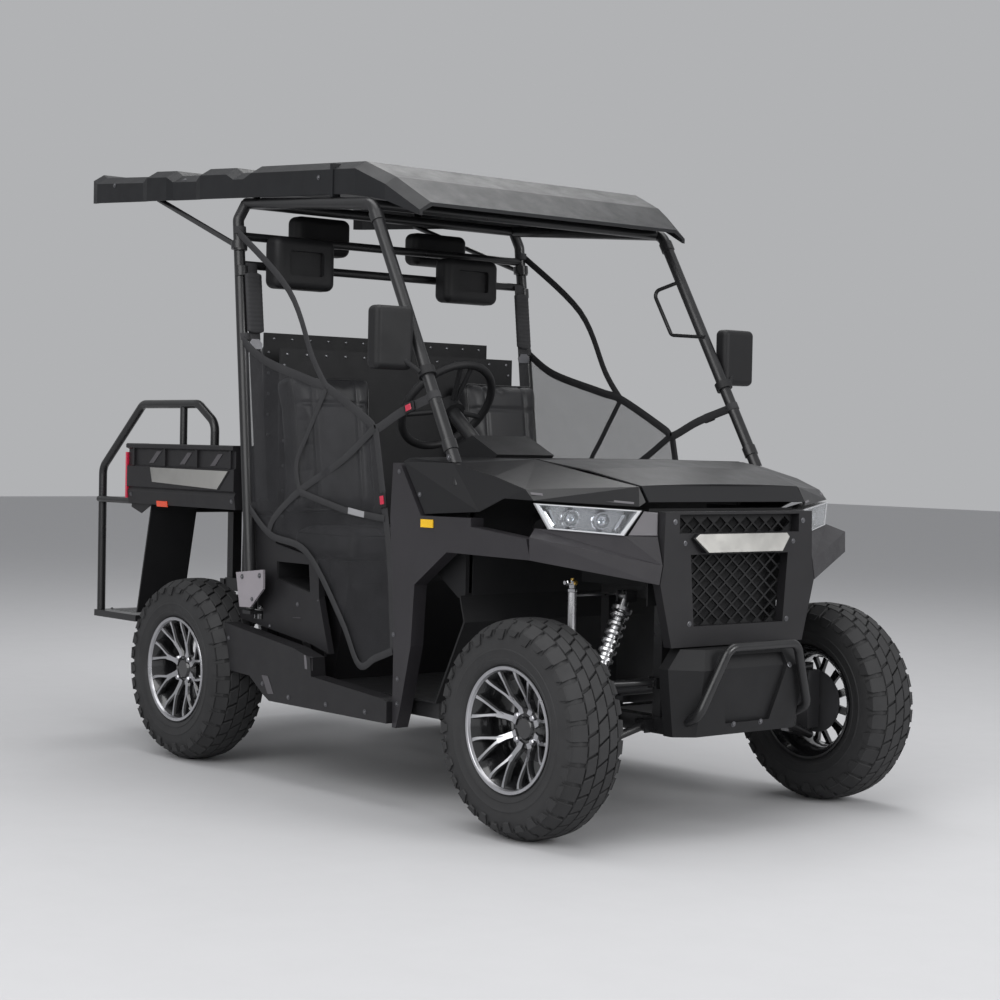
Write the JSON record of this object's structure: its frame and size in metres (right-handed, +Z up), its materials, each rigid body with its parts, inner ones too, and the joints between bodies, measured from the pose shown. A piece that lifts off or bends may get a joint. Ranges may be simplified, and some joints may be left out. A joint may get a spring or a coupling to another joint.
{
  "type": "golf cart with rear-facing seat",
  "caption": "Two-seat off-road golf cart with a moulded roof on a tube cage, a short cargo bed, a rear-facing seat with foot step, alloy wheels and linked steering.",
  "frame": {"origin": "middle of the overall box, on the ground", "axes": "+X forward, +Y to the left, +Z up"},
  "size_m": [3.074, 1.7, 2.213],
  "materials": {
    "tyre": "matt black rubber",
    "alloy": "machined face over gloss black",
    "frame_steel": "satin black powder coat",
    "bright_steel": "plated steel",
    "cast_metal": "as cast",
    "gloss_black": "gloss black moulded plastic",
    "satin_plastic": "satin charcoal moulded plastic",
    "black_plastic": "grained black plastic",
    "roof_plastic": "grained black roof moulding",
    "grey_cover": "light grey paint",
    "lens": "clear lens over chrome",
    "red_lens": "red lens",
    "vinyl": "black vinyl",
    "webbing": "black polyester webbing",
    "net": "black woven mesh"
  },
  "bodies": {
    "chassis": {"chassis_frame": "frame_steel", "front_towers": "frame_steel", "bed_frame": "frame_steel", "hitch_tongue": "frame_steel", "floor_pan": "black_plastic", "seat_base": "black_plastic", "quarter_panels": "satin_plastic", "sills": "satin_plastic", "cage_foot_covers": "grey_cover", "cowl_sides": "gloss_black", "front_fenders": "satin_plastic", "headlights": "lens", "front_fascia": "satin_plastic", "grille_mesh": "black_plastic", "skid_block": "black_plastic", "bumper_hoop": "frame_steel", "dashboard": "black_plastic", "roll_cage": "frame_steel", "roof_panel": "roof_plastic", "roof_struts": "frame_steel", "front_seat_cushions": "vinyl", "front_seat_backs": "vinyl", "bulkhead": "black_plastic", "rear_seat_cushion": "vinyl", "rear_seat_back": "vinyl", "rear_seat_base": "black_plastic", "rear_seat_board": "black_plastic", "headrests": "black_plastic", "seat_belts": "webbing", "cargo_bed": "satin_plastic", "tail_lights": "red_lens", "rear_hoops": "frame_steel", "foot_step": "frame_steel", "mudguards": "black_plastic", "mirrors": "black_plastic", "steering_column": "frame_steel", "steering_rack": "cast_metal", "front_arms": "frame_steel", "front_struts": "bright_steel", "rear_axle": "cast_metal", "rear_arms": "frame_steel", "rear_struts": "bright_steel", "engine_block": "cast_metal", "silencer": "bright_steel", "side_net_right": "net", "side_net_left": "net"},
    "knuckle_right": {"knuckle_right": "cast_metal"},
    "knuckle_left": {"knuckle_left": "cast_metal"},
    "wheel_front_right": {"tyre_front_right": "tyre", "rim_front_right": "alloy"},
    "wheel_front_left": {"tyre_front_left": "tyre", "rim_front_left": "alloy"},
    "wheel_rear_right": {"tyre_rear_right": "tyre", "rim_rear_right": "alloy"},
    "wheel_rear_left": {"tyre_rear_left": "tyre", "rim_rear_left": "alloy"},
    "steering_wheel": {"steering_wheel": "black_plastic"},
    "tie_rods": {"tie_rods": "bright_steel"},
    "hood": {"hood": "gloss_black"},
    "tailgate": {"tailgate": "satin_plastic"}
  },
  "joints": [
    {"name": "steer_right", "type": "hinge", "parent": "chassis", "child": "knuckle_right", "pos_m": [1.1935, -0.575, 0.33], "axis": [0, 0, 1], "range_deg": [-30, 30]},
    {"name": "steer_left", "type": "hinge", "parent": "chassis", "child": "knuckle_left", "pos_m": [1.1935, 0.575, 0.33], "axis": [0, 0, 1], "range_deg": [-30, 30]},
    {"name": "steering_wheel_turn", "type": "hinge", "parent": "chassis", "child": "steering_wheel", "pos_m": [0.358, -0.33, 1.3], "axis": [-0.788, 0, 0.6157], "range_deg": [-270, 270]},
    {"name": "rack_slide", "type": "slide", "parent": "chassis", "child": "tie_rods", "axis": [0, 1, 0], "range_m": [-0.0577, 0.0577]},
    {"name": "wheel_front_right_roll", "type": "hinge", "parent": "knuckle_right", "child": "wheel_front_right", "pos_m": [1.1935, -0.655, 0.33], "axis": [0, 1, 0], "continuous": true},
    {"name": "wheel_rear_right_roll", "type": "hinge", "parent": "chassis", "child": "wheel_rear_right", "pos_m": [-0.6875, -0.655, 0.33], "axis": [0, 1, 0], "continuous": true},
    {"name": "wheel_front_left_roll", "type": "hinge", "parent": "knuckle_left", "child": "wheel_front_left", "pos_m": [1.1935, 0.655, 0.33], "axis": [0, 1, 0], "continuous": true},
    {"name": "wheel_rear_left_roll", "type": "hinge", "parent": "chassis", "child": "wheel_rear_left", "pos_m": [-0.6875, 0.655, 0.33], "axis": [0, 1, 0], "continuous": true},
    {"name": "hood_hinge", "type": "hinge", "parent": "chassis", "child": "hood", "pos_m": [0.981, 0, 1.1195], "axis": [0, -1, 0], "range_deg": [0, 60]},
    {"name": "tailgate_hinge", "type": "hinge", "parent": "chassis", "child": "tailgate", "pos_m": [-1.148, 0, 0.935], "axis": [0, -1, 0], "range_deg": [0, 90]}
  ],
  "couplings": [
    {"joint": "steer_left", "follows": "steer_right", "ratio": 1},
    {"joint": "steering_wheel_turn", "follows": "steer_right", "ratio": 9},
    {"joint": "rack_slide", "follows": "steer_right", "m_per_rad": -0.11}
  ]
}
